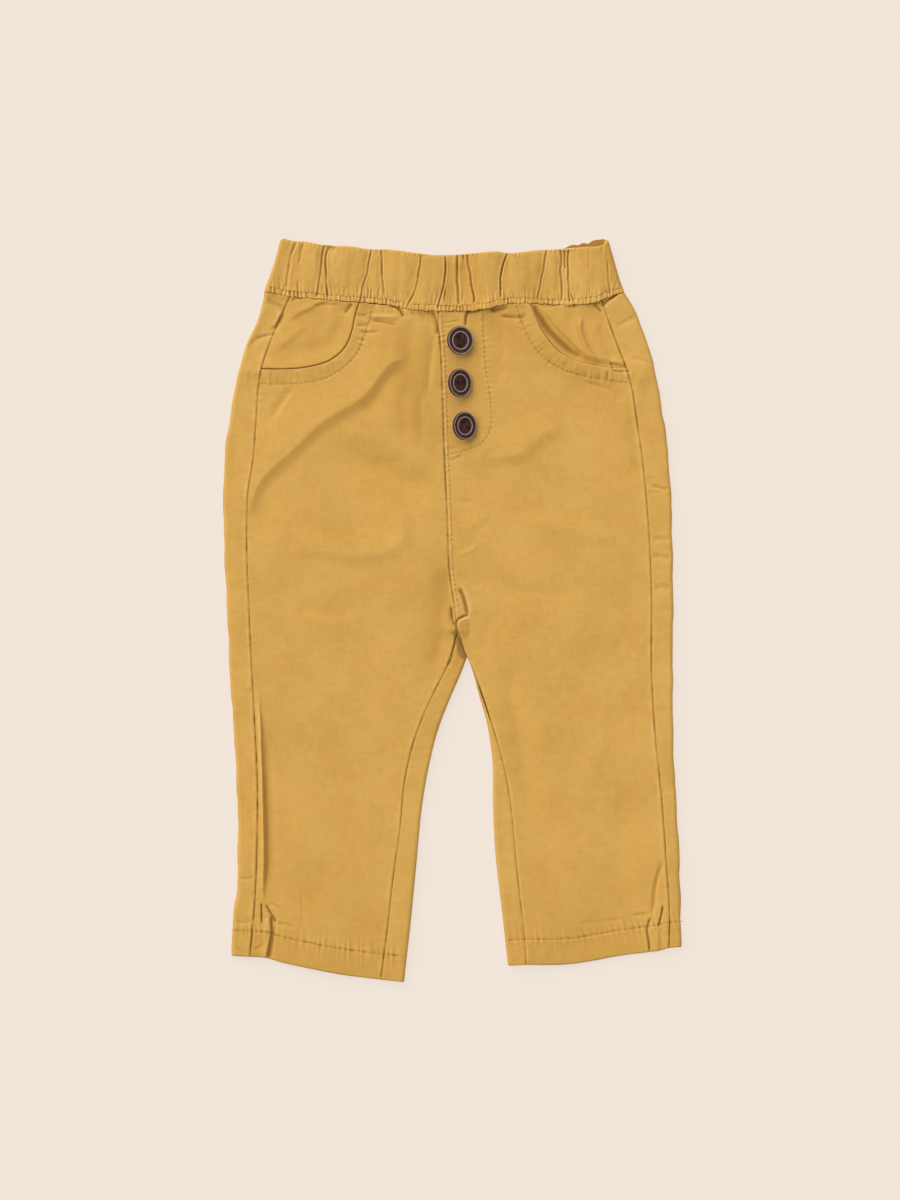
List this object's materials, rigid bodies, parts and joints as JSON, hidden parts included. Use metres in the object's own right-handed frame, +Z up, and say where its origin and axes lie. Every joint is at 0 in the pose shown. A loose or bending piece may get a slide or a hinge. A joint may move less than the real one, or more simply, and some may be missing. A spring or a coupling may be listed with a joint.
{
  "type": "baby trousers",
  "caption": "Baby trousers in mustard cotton twill, laid flat with the front up: gathered elastic waist, curved hip pockets, mock fly with shank buttons, turned-up hems.",
  "frame": {"origin": "middle of the outline in plan, on the surface that the trousers lie on", "axes": "+X towards the wearer's left leg, +Y from the hems to the waist, +Z up off the surface, towards the viewer of the front"},
  "size_m": [0.2461, 0.3994, 0.0153],
  "materials": {
    "twill": "matt garment-dyed cotton twill in mustard, softly worn",
    "button": "dark brown imitation horn, satin, with two pale turned rings"
  },
  "bodies": {
    "root": {"front_right": "twill", "front_left": "twill", "back_right": "twill", "back_left": "twill", "pocket_yoke_right": "twill", "pocket_yoke_left": "twill", "waistband": "twill", "button_top": "button", "button_middle": "button", "button_bottom": "button"}
  },
  "joints": []
}
